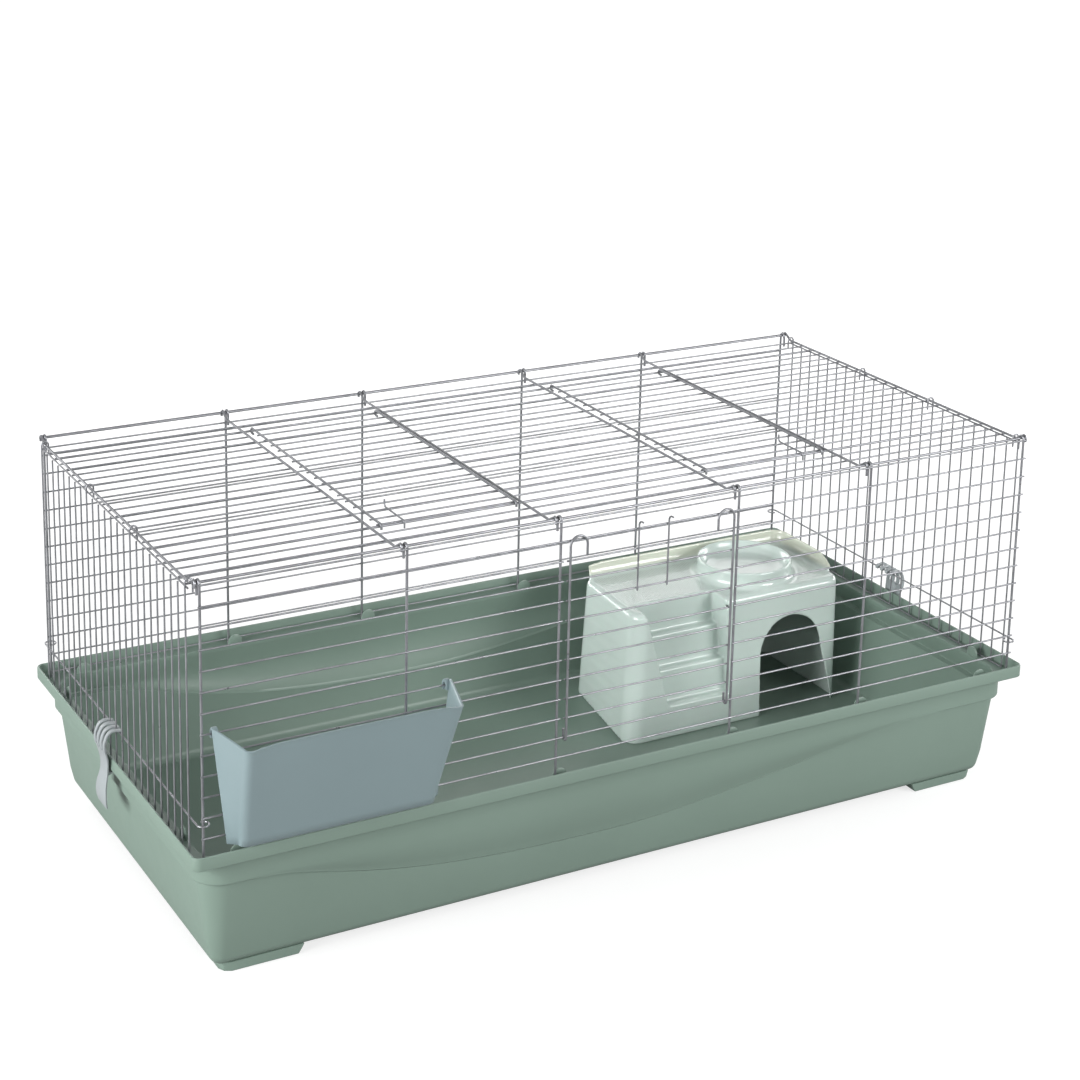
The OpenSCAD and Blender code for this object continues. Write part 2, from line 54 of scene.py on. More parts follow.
# place in the tray's own frame (m), turn about X, Y and Z (degrees), lens (mm) and vertical shift
CAMERA_PLACE, CAMERA_TURN = (-1.3849, -2.4549, 1.42295), (75.873, -1.2079, -29.034)
CAMERA_LENS, CAMERA_SHIFT = 76.095, -0.25
SKY_LIGHT, SKY_SEEN = 0.18, 1.05  # strength for the lighting, and for the camera
FLOOR_GREY, FLOOR_SIZE, FLOOR_Z = 0.36, 9, -0.0006
SOFT_BOXES = (  # name, place, aim, size (all in m), power (W)
    ("key_left", (-3.4, -0.5, 1.15), (0, 0, 0.15), (2.2, 1.5), 148),
    ("front_right", (1.9, -3.0, 1.5), (0.4, 0, 0.15), (1.8, 1.3), 104),
    ("front_left", (-1.3, -3.2, 1.6), (0.2, 0.1, 0.2), (1.4, 1.2), 18),
    ("sheen_back", (1.7, 2.4, 1.35), (0.3, 0, 0.2), (2.4, 1.2), 22),
    ("top", (0.2, 0.6, 3.0), (0.2, 0, 0.1), (2.2, 1.6), 8),
    ("back_fill", (-0.7, 3.1, 0.6), (0, 0.3, 0.08), (2.4, 0.8), 40),
    ("right_fill", (3.2, 0.5, 0.6), (0.6, 0, 0.08), (1.8, 0.8), 34),
)


def make_camera():
    data = bpy.data.cameras.new("camera")
    data.sensor_width = 36.0
    data.lens = CAMERA_LENS
    data.shift_y = CAMERA_SHIFT
    data.clip_end = 100
    cam = bpy.data.objects.new("camera", data)
    bpy.context.scene.collection.objects.link(cam)
    cam.location = Vector(CAMERA_PLACE) + Vector((0, MID_Y, 0))
    cam.rotation_euler = [math.radians(a) for a in CAMERA_TURN]
    bpy.context.scene.camera = cam


def area_light(name, loc, aim, size, power):
    data = bpy.data.lights.new(name, "AREA")
    data.shape = "RECTANGLE"
    data.size, data.size_y = size
    data.energy = power
    obj = bpy.data.objects.new(name, data)
    obj.location = loc
    obj.rotation_euler = (Vector(aim) - Vector(loc)).to_track_quat("-Z", "Y").to_euler()
    bpy.context.scene.collection.objects.link(obj)


def make_world():
    """White all round for the camera, and a dimmer sky for the lighting."""
    world = bpy.data.worlds.new("studio")
    bpy.context.scene.world = world
    world.use_nodes = True
    nodes, links = world.node_tree.nodes, world.node_tree.links
    sky, seen = nodes["Background"], nodes.new("ShaderNodeBackground")
    for background, strength in ((sky, SKY_LIGHT), (seen, SKY_SEEN)):
        background.inputs["Color"].default_value = WHITE
        background.inputs["Strength"].default_value = strength
    mix = nodes.new("ShaderNodeMixShader")
    links.new(nodes.new("ShaderNodeLightPath").outputs["Is Camera Ray"], mix.inputs[0])
    links.new(sky.outputs[0], mix.inputs[1])
    links.new(seen.outputs[0], mix.inputs[2])
    links.new(mix.outputs[0], nodes["World Output"].inputs["Surface"])
    bpy.context.scene.view_settings.view_transform = "Standard"


def make_floor():
    """Pale floor whose white glow, for the camera only, grows away from the cage."""
    bm = bmesh.new()
    bmesh.ops.create_grid(bm, x_segments=8, y_segments=8, size=FLOOR_SIZE)
    floor = new_object("stage_floor", bm)
    floor.location.z = FLOOR_Z
    mat, tree, shader = new_material("stage_white", (FLOOR_GREY,) * 3, 0.9)
    shader.inputs["Emission Color"].default_value = WHITE
    reach = tree.nodes.new("ShaderNodeVectorMath")
    reach.operation = "LENGTH"
    tree.links.new(object_coord(tree), reach.inputs[0])
    fade = tree.nodes.new("ShaderNodeMapRange")
    for key, value in (("From Min", 0.8), ("From Max", 3.2), ("To Min", 0.7), ("To Max", 1.0)):
        fade.inputs[key].default_value = value
    tree.links.new(reach.outputs["Value"], fade.inputs["Value"])
    camera_ray = tree.nodes.new("ShaderNodeLightPath").outputs["Is Camera Ray"]
    glow = math_node(tree, "MULTIPLY", fade.outputs[0], camera_ray)
    tree.links.new(glow, shader.inputs["Emission Strength"])
    floor.data.materials.append(mat)


def make_studio():
    make_world()
    for box in SOFT_BOXES:
        area_light(*box)
    make_floor()


# ---- mesh helpers -----------------------------------------------------------------------------

def new_object(name, bm):
    """A smooth-shaded object from the mesh, with its faces turned outward."""
    mesh = bpy.data.meshes.new(name)
    bmesh.ops.recalc_face_normals(bm, faces=bm.faces)
    bm.to_mesh(mesh)
    bm.free()
    for poly in mesh.polygons:
        poly.use_smooth = True
    obj = bpy.data.objects.new(name, mesh)
    bpy.context.scene.collection.objects.link(obj)
    return obj


def sharpen(obj, degrees):
    """Marks edges sharper than the angle, so that smooth shading stops at real corners."""
    bm = bmesh.new()
    bm.from_mesh(obj.data)
    for e in bm.edges:
        if len(e.link_faces) == 2 and e.calc_face_angle(0) > math.radians(degrees):
            e.smooth = False
    bm.to_mesh(obj.data)
    bm.free()


def bake(obj):
    """Replaces the mesh with its evaluated result, so no modifier is left on it."""
    bpy.context.view_layer.update()
    dg = bpy.context.evaluated_depsgraph_get()
    mesh = bpy.data.meshes.new_from_object(obj.evaluated_get(dg))
    obj.modifiers.clear()
    obj.data = mesh


def contour(hx, hy, r, nx=60, ny=14, nc=10):
    """Rounded rectangle, anticlockwise from the front left corner's end, always the same count."""
    r = max(r, 0.05)
    pts = []
    ax, ay = hx - r, hy - r
    for cx, cy, a0, n, dx, dy in ((-ax, -ay, 180, nx, 1, 0), (ax, -ay, 270, ny, 0, 1),
                                  (ax, ay, 0, nx, -1, 0), (-ax, ay, 90, ny, 0, -1)):
        for i in range(nc):
            a = math.radians(a0 + 90 * i / nc)
            pts.append((cx + r * math.cos(a), cy + r * math.sin(a)))
        run = 2 * (ax if dx else ay)
        for i in range(n):
            t = i / n
            ex, ey = cx, cy
            if dx:
                ey += -r if dx > 0 else r
            else:
                ex += r if dy > 0 else -r
            pts.append((ex + dx * run * t, ey + dy * run * t))
    return pts


def skin(bm, rings, close=True):
    """Quads between successive rings of the same count. Rings are lists of (x, y, z) in mm."""
    rows = [[bm.verts.new((x * MM, y * MM, z * MM)) for x, y, z in ring] for ring in rings]
    for a, b in zip(rows, rows[1:]):
        n = len(a)
        for i in range(n if close else n - 1):
            j = (i + 1) % n
            bm.faces.new((a[i], a[j], b[j], b[i]))
    return rows


def capped(bm, rings):
    """A skin with a face at each end."""
    rows = skin(bm, rings)
    bm.faces.new(rows[0])
    bm.faces.new(rows[-1])


def move_to_tray(bm):
    """From the tray's own centre line to the shared frame."""
    for v in bm.verts:
        v.co.y += MID_Y


def arc(cx, cy, r, degrees):
    return [(cx + r * math.cos(math.radians(a)), cy + r * math.sin(math.radians(a)))
            for a in degrees]


def ease(t):
    """Half a cosine wave, from 0 at 0 to 1 at 1."""
    return 0.5 - 0.5 * math.cos(math.pi * t)


# ---- materials --------------------------------------------------------------------------------

def new_material(name, colour, rough, **sockets):
    mat = bpy.data.materials.new(name)
    mat.use_nodes = True
    shader = mat.node_tree.nodes["Principled BSDF"]
    shader.inputs["Base Color"].default_value = (*colour, 1)
    shader.inputs["Roughness"].default_value = rough
    for key, value in sockets.items():
        shader.inputs[key.replace("_", " ")].default_value = value
    return mat, mat.node_tree, shader


def object_coord(tree):
    return tree.nodes.new("ShaderNodeTexCoord").outputs["Object"]


def math_node(tree, operation, *values):
    """A Math node. Each value is a number or the output that feeds it."""
    node = tree.nodes.new("ShaderNodeMath")
    node.operation = operation
    for socket, value in zip(node.inputs, values):
        if isinstance(value, (int, float)):
            socket.default_value = value
        else:
            tree.links.new(value, socket)
    return node.outputs[0]


def attribute(tree, name):
    node = tree.nodes.new("ShaderNodeAttribute")
    node.attribute_name = name
    return node.outputs["Fac"]


def noise(tree, coord, scale, detail, rough=0.55):
    n = tree.nodes.new("ShaderNodeTexNoise")
    n.inputs["Scale"].default_value = scale
    n.inputs["Detail"].default_value = detail
    n.inputs["Roughness"].default_value = rough
    tree.links.new(coord, n.inputs["Vector"])
    return n.outputs["Fac"]


def ramp(tree, fac, stops):
    r = tree.nodes.new("ShaderNodeValToRGB")
    els = r.color_ramp.elements
    while len(els) < len(stops):
        els.new(0.5)
    for el, (pos, col) in zip(els, stops):
        el.position = pos
        el.color = (*col, 1)
    tree.links.new(fac, r.inputs["Fac"])
    return r.outputs["Color"]


def bump(tree, shader, height, strength, distance, previous=None):
    b = tree.nodes.new("ShaderNodeBump")
    b.inputs["Strength"].default_value = strength
    b.inputs["Distance"].default_value = distance
    tree.links.new(height, b.inputs["Height"])
    if previous is not None:
        tree.links.new(previous, b.inputs["Normal"])
    tree.links.new(b.outputs["Normal"], shader.inputs["Normal"])
    return b.outputs["Normal"]


def colour_drift(tree, fac, colour, factors, places=(0.3, 0.5, 0.7)):
    """The colour, darker to lighter by the three factors at the three places of fac."""
    shades = [tuple(min(1.0, c * f) for c in colour) for f in factors]
    return ramp(tree, fac, list(zip(places, shades)))


def gloss_drift(tree, shader, fac, places, roughness):
    stops = [(place, (rough,) * 3) for place, rough in zip(places, roughness)]
    tree.links.new(ramp(tree, fac, stops), shader.inputs["Roughness"])


def moulded_plastic(name, colour, rough):
    """Satin injection-moulded plastic: slow colour drift, faint flow lines, a fine grain."""
    mat, tree, shader = new_material(name, colour, rough)
    coord = object_coord(tree)
    body = colour_drift(tree, noise(tree, coord, 3.2, 4), colour, (0.955, 1, 1.045),
                        (0.3, 0.5, 0.72))
    tree.links.new(body, shader.inputs["Base Color"])
    gloss_drift(tree, shader, noise(tree, coord, 14, 5, 0.65), (0.25, 0.75),
                (rough - 0.06, rough + 0.07))
    grain = bump(tree, shader, noise(tree, coord, 900, 2), 0.35, 0.00004)
    bump(tree, shader, noise(tree, coord, 7, 2), 0.25, 0.0012, grain)
    return mat


def zinc_wire(name):
    """Galvanised wire: grey metal with dull and bright patches and small drips in the coat."""
    base = (0.30, 0.305, 0.325)
    mat, tree, shader = new_material(name, base, 0.36, Metallic=0.7, Specular_IOR_Level=0.55)
    coord = object_coord(tree)
    patches = colour_drift(tree, noise(tree, coord, 38, 5, 0.6), base, (0.74, 0.98, 1.16))
    tree.links.new(patches, shader.inputs["Base Color"])
    gloss_drift(tree, shader, noise(tree, coord, 120, 4, 0.6), (0.3, 0.72), (0.27, 0.47))
    bump(tree, shader, noise(tree, coord, 420, 3), 0.4, 0.0001)
    return mat


LIP_COLOUR = (0.60, 0.635, 0.54)
GRID_PITCH = 0.0036


def house_plastic(name):
    """Glossy pale mint plastic with a fine anti-slip grid on the deck and a warmer raised lip."""
    colour = (0.56, 0.65, 0.612)
    mat, tree, shader = new_material(name, colour, 0.2, Coat_Weight=0.35, Coat_Roughness=0.08,
                                     Subsurface_Weight=0.18,
                                     Subsurface_Radius=(0.02, 0.03, 0.024))
    nodes, links = tree.nodes, tree.links
    coord = object_coord(tree)
    body = colour_drift(tree, noise(tree, coord, 6, 4), colour, (0.94, 1.0, 1.05))
    parts = nodes.new("ShaderNodeSeparateXYZ")
    links.new(coord, parts.inputs[0])
    above = nodes.new("ShaderNodeMapRange")
    deck_z = (HOUSE_Z + HOUSE_HIGH) * MM
    above.inputs["From Min"].default_value = deck_z + 0.001
    above.inputs["From Max"].default_value = deck_z + 0.006
    links.new(parts.outputs["Z"], above.inputs["Value"])
    mix = nodes.new("ShaderNodeMix")
    mix.data_type = "RGBA"
    mix.inputs["B"].default_value = (*LIP_COLOUR, 1)
    lip = math_node(tree, "MULTIPLY", above.outputs[0], attribute(tree, "lip"))
    links.new(lip, mix.inputs["Factor"])
    links.new(body, mix.inputs["A"])
    links.new(mix.outputs["Result"], shader.inputs["Base Color"])
    gloss_drift(tree, shader, noise(tree, coord, 18, 4), (0.3, 0.7), (0.15, 0.27))
    # fine square grid, only on the flat deck
    waves = [math_node(tree, "SINE", math_node(tree, "MULTIPLY", parts.outputs[axis],
                                               2 * math.pi / GRID_PITCH)) for axis in ("X", "Y")]
    grid = math_node(tree, "MULTIPLY", math_node(tree, "MAXIMUM", *waves),
                     attribute(tree, "deck"))
    first = bump(tree, shader, grid, 0.55, 0.00035)
    bump(tree, shader, noise(tree, coord, 22, 3), 0.3, 0.0008, first)
    return mat


def finish_piece(obj, mat, body, node):
    obj.data.materials.clear()
    obj.data.materials.append(mat)
    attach(obj, body)
    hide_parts(node)


# ---- tray -------------------------------------------------------------------------------------

HALF_L, HALF_W = 590.0, 292.5  # half length and half width over the rim, mm
BAND_X, BAND_Y, BAND_R = 578.0, 280.5, 36.0  # the same of the band below it, and its corners
BODY_STEP, BODY_SLOPE = 7.0, 0.12  # the body lies this far inside the band, and slopes in
STEP_Z = 124.0
TRAY_WALL = 2.5
FLOOR_UNDER = 10.0
CURVE_IN, CURVE_Z, CURVE_R = 35.0, 24.0, 14.0  # centre and radius of the bottom's curve
TAB_R, TAB_Z = 10.0, 160.0
# the relief line on the long walls: its two ends, how far it dips at the tray's middle, and the
# powers that shape its left and its right side
WAVE_LEFT, WAVE_RIGHT, WAVE_DEPTH = -475.0, 410.0, 56.0
WAVE_FALL, WAVE_CLIMB = 3.0, 1.25


def wave_depth(x):
    """Steep at the left end, level at the tray's middle, then an almost straight climb."""
    if not WAVE_LEFT < x < WAVE_RIGHT:
        return 0.0
    if x < 0:
        return WAVE_DEPTH * (1 - (x / WAVE_LEFT) ** WAVE_FALL)
    return WAVE_DEPTH * (1 - (x / WAVE_RIGHT) ** WAVE_CLIMB)


def soft_wave(x):
    """The relief line's depth, averaged along the wall so that it runs in one smooth curve."""
    return sum(wave_depth(x + 7 * k) for k in range(-6, 7)) / 13


def tray_ring(offset, z, thick=0.0, wave=0.0, share=None):
    """One ring of the wall. wave moves it down by that share of the relief depth, and share says
    how far between the band and the body its offset then lies."""
    flat = contour(BAND_X - offset - thick, BAND_Y - offset - thick, BAND_R - offset - thick)
    ring = []
    for x, y in flat:
        straight = abs(y) > BAND_Y - offset - thick - 0.5
        d = soft_wave(x) if straight and abs(x) < BAND_X - BAND_R else 0.0
        if share is None or d <= 0:
            ring.append((x, y, z - wave * d))
            continue
        body_at_line = BODY_STEP + BODY_SLOPE * d
        step = BODY_STEP - (BODY_STEP - 2.2) * min(d / 26, 1)
        target = (body_at_line - step) * share if share <= 1 else body_at_line
        side = 1 if y > 0 else -1
        ring.append((x, side * (BAND_Y - target - thick), z - wave * d))
    return ring


def rim(inset, z, r):
    return [(x, y, z) for x, y in contour(HALF_L - inset, HALF_W - inset, r)]


def ledge(offset, z):
    return [(x, y, z) for x, y in contour(BAND_X - offset, BAND_Y - offset, BAND_R - offset)]


def relief_rings(top, drop, thick=0.0, more=0.0):
    """Rings that fade from a level edge down to the wavy relief line."""
    return [tray_ring(0, top + drop * (1 - s), thick + more * (1 - s), s, s * s)
            for s in (0.8, 0.6, 0.4, 0.2)]


def body_ring(z, thick=0.0):
    return tray_ring(BODY_STEP + BODY_SLOPE * (STEP_Z - z), z, thick)


def curve_rings(r):
    """The curve from the floor up into the wall."""
    return [tray_ring(CURVE_IN - x, CURVE_Z + z)
            for x, z in arc(0, 0, r, (-90, -75, -60, -45, -30, -15, -8))]


def tray_rings():
    """The tray's section, from the underside, over the rim and down to the floor inside."""
    flat = contour(BAND_X - 90, BAND_Y - 90, 4)
    t = TRAY_WALL
    outside = [[(x, y, FLOOR_UNDER) for x, y in flat]] + curve_rings(CURVE_R)
    outside += [body_ring(40), body_ring(55), tray_ring(BODY_STEP, 121.6, 0, 1.0, 2),
                tray_ring(BODY_STEP, 123.4, 0, 1.0, 2), tray_ring(0.6, 125.4, 0, 1.0, 1),
                tray_ring(0, 126.4, 0, 1.0, 0.985)]
    outside += relief_rings(127.0, 1.2)
    outside += [tray_ring(0, 134), tray_ring(0, 152.4), tray_ring(-0.8, 153.8)]
    edge = [rim(4.5, 154.2, 7), rim(3.4, 155.0, 7.5), rim(0.8, 155.6, 9.4), rim(0.1, 156.4, 10),
            rim(0, 157.4, 10), rim(0, 170.4, 10), rim(0.35, 171.4, 9.7), rim(1.1, 171.95, 9),
            rim(1.9, 171.95, 8.2), rim(2.7, 171.4, 7.4), rim(3.0, 170.4, 7.1),
            rim(3.2, 158.2, 7), rim(4.0, 157.2, 6.5)]
    channel = [ledge(5.0, 157.0), ledge(8.2, 157.0), ledge(9.2, 156.3), ledge(9.4, 152.0)]
    inside = [tray_ring(0, 150.5, 9.0), tray_ring(0, 134, 6.0)]
    inside += reversed(relief_rings(129.5, 0.8, 2.6, 1.6))
    inside += [tray_ring(0, 128.6, t, 1.0, 0.985), tray_ring(0.6, 127.6, t, 1.0, 1),
               tray_ring(BODY_STEP, 125.2, t, 1.0, 2), tray_ring(BODY_STEP, 123.4, t, 1.0, 2),
               body_ring(55, t), body_ring(40, t)]
    inside += reversed(curve_rings(CURVE_R - t))
    inside.append([(x, y, FLOOR_UNDER + t) for x, y in flat])
    return outside + edge + channel + inside


def add_foot(bm, sx, sy):
    """A foot with sloped ends, flush with the bottom's curve. k is its corner's chamfer."""
    rings = []
    k = 12
    for z, grow in ((0.0, 0.0), (0.6, 0.5), (9.0, 5.5), (12.2, 7.0)):
        x0, x1 = 450 - grow, 544 + min(grow, 2.2)
        y0, y1 = 206 - grow * 0.4, 254 + min(grow, 1.2)
        rings.append([(sx * x, sy * y, z) for x, y in (
            (x0, y0), (x0, y1), (x1 - k, y1), (x1 - 4, y1 - 4), (x1, y1 - k), (x1, y0))])
    capped(bm, rings)


def add_tab(bm, x, y, turned):
    """A half-round tab that stands on the channel's inner edge."""
    outline = [(TAB_R, -4)] + arc(0, 0, TAB_R, range(0, 181, 15)) + [(-TAB_R, -4)]
    rings = []
    for off, shrink in ((-1.1, 0.5), (-0.8, 0.0), (0.8, 0.0), (1.1, 0.5)):
        f = (TAB_R - shrink) / TAB_R
        rings.append([(x + off, y + u * f, TAB_Z + v * f) if turned
                      else (x + u * f, y + off, TAB_Z + v * f) for u, v in outline])
    capped(bm, rings)


def build_tray(mat):
    bm = bmesh.new()
    rows = skin(bm, tray_rings())
    bm.faces.new(list(reversed(rows[0])))
    bm.faces.new(rows[-1])
    for sx in (-1, 1):
        for sy in (-1, 1):
            add_foot(bm, sx, sy)
    for s in (-1, 1):
        for x in (-530, -317, -117, 133, 333, 530):
            add_tab(bm, x, s * 273.5, False)
        for y in (-209.5, 209.5):
            add_tab(bm, s * 571.0, y, True)
    move_to_tray(bm)
    obj = new_object("tray_moulding", bm)
    sharpen(obj, 34)
    finish_piece(obj, mat, "base", "tray")


# ---- hay rack ---------------------------------------------------------------------------------

RACK_BACK = -283.5  # its open back, in the tray's own frame
RACK_WALL = 2.5
RACK_LOW, RACK_HIGH = (130.5, 17.0), (147.0, 67.4)  # half width and depth, at the foot and the top
# share of the way up the front, and the height there
RACK_LEVELS = [(0.03, 178.6), (0.1, 190), (0.25, 212), (0.45, 241), (0.65, 270), (0.82, 295),
               (0.93, 311), (0.985, 319.2), (1.0, 320.8)]
HOOK_X, HOOK_Y, HOOK_Z = 142.5, -280.25, 313.0
HOOK = [(-3.4, -4), (-3.4, 0.4), (-2.3, 3.1), (0, 4.4), (2.4, 3.4), (3.6, 0.8), (3.6, -7),
        (6.0, -7), (6.0, 1.4), (4.6, 5.0), (1.6, 7.2), (-1.6, 7.2), (-4.8, 5.4), (-6.2, 2.0),
        (-6.2, -4)]


def rack_size(level):
    """Half width and depth at a share of the way up."""
    return [low + (high - low) * level for low, high in zip(RACK_LOW, RACK_HIGH)]


def rack_path(level, inset):
    """Open U seen from above: back left, round the two front corners, back right."""
    half, depth = (value - inset for value in rack_size(level))
    front = half - (10 + 4.5 * level)
    r = 10 - inset * 0.6
    side = [(half + (front - half) * k / 6, -(depth - r) * k / 6) for k in range(6)]
    side += [(front - r * (1 - math.cos(a)), -(depth - r) - r * math.sin(a))
             for a in (math.radians(90 * k / 7) for k in range(8))]
    run = front - r
    middle = [(run * (k / 12 - 1), -depth + 1.6 * math.sin(math.pi * k / 24) * level)
              for k in range(1, 24)]
    return [(-x, y) for x, y in side] + middle + side[::-1]


def rack_ring(level, inset, z):
    """A ring of the wall, whose front upper edge sinks towards its two corners."""
    half, depth = rack_size(level)
    ring = []
    for x, y in rack_path(level, inset):
        along = min(1.0, max(0.0, (half - abs(x)) / 62))
        ahead = min(1.0, -y / depth)
        ring.append((x, y, z - 9.5 * (1 - along) ** 2 * ahead ** 2 * level ** 3))
    return ring


def level_ring(level, inset, z):
    return [(x, y, z) for x, y in rack_path(level, inset)]


def foot_ring(inset, z):
    """The narrow ring under and over the floor."""
    return [(x * 0.86, y * 0.5 - 2, z) for x, y in rack_path(0.0, inset)]


def close_rack(bm, rows):
    """The two rear edges of the wall, the floor inside and below, and the floor's rear edge."""
    n, m = len(rows), len(rows[0])
    for side in (0, -1):
        for k in range(n // 2):
            quad = [rows[i][side] for i in (k, k + 1, n - 2 - k, n - 1 - k)]
            if len(set(quad)) == 4:
                bm.faces.new(quad)
    under, over = rows[0], rows[-1]
    for i in range(m // 2):
        for row in (under, over):
            quad = (row[i], row[i + 1], row[m - 2 - i], row[m - 1 - i])
            if len(set(quad)) == 4:
                bm.faces.new(quad)
    bm.faces.new((under[0], under[-1], over[-1], over[0]))


def build_rack(mat):
    low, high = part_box("hay_rack")
    mid = (low.x + high.x) / 2 / MM
    bm = bmesh.new()
    rings = [foot_ring(3, 176.4), level_ring(0.0, 2.0, 176.9)]
    rings += [rack_ring(level, 0, z) for level, z in RACK_LEVELS]
    rings += [rack_ring(0.995, 0.7, 321.0), rack_ring(0.99, 1.8, 320.9),
              rack_ring(0.98, 2.4, 319.8)]
    rings += [rack_ring(level, RACK_WALL, z) for level, z in reversed(RACK_LEVELS[:-2])]
    rings += [level_ring(0.02, 4.5, 180.4), foot_ring(5, 180.4)]
    rings = [[(mid + x, RACK_BACK + y, z) for x, y, z in ring] for ring in rings]
    close_rack(bm, skin(bm, rings, close=False))
    for side in (-1, 1):
        capped(bm, [[(mid + side * HOOK_X + off, HOOK_Y + u * f, HOOK_Z + v * f)
                     for u, v in HOOK]
                    for off, f in ((-3.0, 0.975), (-2.6, 1), (2.6, 1), (3.0, 0.975))])
    move_to_tray(bm)
    obj = new_object("hay_rack_moulding", bm)
    sharpen(obj, 50)
    finish_piece(obj, mat, "hay_rack", "hay_rack")


# ---- side clips -------------------------------------------------------------------------------

def spline(points, steps):
    """Catmull-Rom through the points."""
    out = []
    p = [points[0]] + points + [points[-1]]
    for i in range(1, len(p) - 2):
        for k in range(steps):
            t = k / steps
            a, b, c, d = (Vector(q) for q in p[i - 1:i + 3])
            out.append(0.5 * ((2 * b) + (c - a) * t + (2 * a - 5 * b + 4 * c - d) * t * t
                              + (3 * b - a - 3 * c + d) * t ** 3))
    out.append(Vector(points[-1]))
    return out


WIRE_X, WIRE_Z = 579.75, 205.0  # the clip wire, round which the tines wrap
REACH = 10.25  # from the wire out to the rim's face
TINE_GAPS, TINE_GAP = (-11.2, 0.0, 11.2), 5.2
STRAP = ((-1, -0.55), (-0.82, -1), (0.82, -1), (1, -0.55), (1, 0.55), (0.82, 1), (-0.82, 1),
         (-1, 0.55))  # section of the lever, across by through, in halves


def lever_line():
    """The lever's centre line from the tines' tips to the finger end."""
    outside = [(4.2, 0), (8, -8), (9, -16), (7, -26), (4.6, -36), (4.0, -45), (4.6, -56),
               (7.4, -68), (8.8, -79), (8.6, -89), (7.4, -96)]
    line = arc(0, 0, 2.9, (205, 170, 135, 100, 70)) + [(4.6, 3.6), (9, 3.6)]
    return spline(line + [(REACH + x, z) for x, z in outside], 4)


def half_width(z):
    """Wide tines, a waist over the rim and a wider finger end."""
    if z > -20:
        return 19.0
    if z > -52:
        return 19 - 6 * ease((-20 - z) / 32)
    t = (-52 - z) / 44
    return 13 + 5.6 * ease(min(1, t * 1.3)) - 1.4 * t ** 12


def build_clip(side, mat):
    """S-curved lever: four tines round the clip wire, a waist over the rim and a finger end."""
    line = lever_line()
    last = len(line) - 1
    bm = bmesh.new()

    def strip(first, end, low, high):
        """One closed solid along the line, between two limits across it."""
        rings = []
        for i in range(first, end + 1):
            along = (line[min(i + 1, last)] - line[max(i - 1, 0)]).normalized()
            normal = Vector((-along.y, along.x)) * (1.5 if i < last - 2 else 1.2)
            width = half_width(line[i].y)
            a, b = low(width), high(width)
            ring = []
            for u, v in STRAP:
                p = line[i] + normal * v
                ring.append((side * (WIRE_X + p.x), (a + b) / 2 + (b - a) / 2 * u, WIRE_Z + p.y))
            rings.append(ring)
        capped(bm, rings)

    split = next(i for i, q in enumerate(line) if i > 20 and q.y < -19)
    edges = [lambda w: -w]
    edges += [lambda w, y=gap + s * TINE_GAP / 2: y for gap in TINE_GAPS for s in (-1, 1)]
    edges.append(lambda w: w)
    for k in range(4):
        strip(0, split + 1, edges[2 * k], edges[2 * k + 1])
    strip(split, last, edges[0], edges[-1])
    # nib below the rim's lip
    capped(bm, [[(side * (WIRE_X + x), y, WIRE_Z + z) for x, z in (
        (REACH + 4, -52 - k), (REACH - 3.2, -52 - k), (REACH - 3.2, -53.4 + k),
        (REACH + 4, -57 + k))] for y, k in ((-11, 0.25), (-10.4, 0), (10.4, 0), (11, 0.25))])
    move_to_tray(bm)
    name = "left" if side < 0 else "right"
    obj = new_object(name + "_clip_moulding", bm)
    sharpen(obj, 40)
    finish_piece(obj, mat, name + "_clip", name + "_side_clip")


# ---- hide house -------------------------------------------------------------------------------

HOUSE_X, HOUSE_Y, HOUSE_Z = 336.0, 112.5, 12.8  # its middle, on the tray's floor
HOUSE_HIGH = 187.0
WALL, DECK_SOFT = 3.0, 9.0
BODY_LEVELS = [0, 12, 30, 50, 70, 90, 110, 130, 150, 166, 178]
DISH_X, DISH_Y, DISH_REACH = 64.0, -13.0, 79.0
DISH = [(75, -2.4), (74.5, 0.4), (71.5, 1.6), (69, 5), (67.6, 12), (67.9, 20.6), (67.2, 22.6),
        (65.6, 22.9), (64, 21), (61, 14.5), (55, 8.6), (44, 5.4), (26, 4.2), (8, 4)]
STAIR_FOOT, STAIR_TOP, CUT_TOP = 46, HOUSE_HIGH + 2, 230
STAIR_BACK, STAIR_DEPTH = -81, 14  # how far back the lowest cut reaches, and more for each next
STAIR_LEFT, STAIR_RIGHT = -149, -18
LEFT_LEAN, RIGHT_LEAN, LEAN_HEIGHT = 40, 12, 150
AHEAD = -140  # in front of the whole house
FLANGE_TURN = 22.0
FLANGE = [(3.4, -9), (3.2, -3), (2.4, 5), (1.2, 12), (0.2, 17.6), (0.3, 19.6), (1.5, 20),
          (2.9, 19), (3.6, 14), (5.0, 8.4), (7.6, 4.0), (11.5, 1.3), (17, 0.1), (17, -2.4)]
VOXEL = 0.0016


def house_corners(z):
    """Front left, front right, back right and back left corner at a height above its foot."""
    t = z / HOUSE_HIGH
    return ((-180 + 14 * t, -100 + 8 * t), (180 + 2 * t, -100 + 8 * t),
            (180 + 2 * t, 100 - 30 * t), (-148 - 10 * t, 100 - 30 * t))


def rounded_outline(z, inset, radius=22.0, steps=8):
    """Rounded outline through the four corners of a level, moved in by inset."""
    corners = [Vector(p) for p in house_corners(z)]
    out = []
    for i in range(4):
        here, before, after = corners[i], corners[i - 1], corners[(i + 1) % 4]
        u, v = (before - here).normalized(), (after - here).normalized()
        half = u.angle(v) / 2
        centre = here + (u + v).normalized() * (radius / math.sin(half))
        start = math.atan2(-(v + u).y, -(v + u).x)
        spread = math.pi / 2 - half
        r = radius - inset
        for k in range(steps + 1):
            a = start - spread + 2 * spread * k / steps
            out.append((centre.x + r * math.cos(a), centre.y + r * math.sin(a)))
    return out


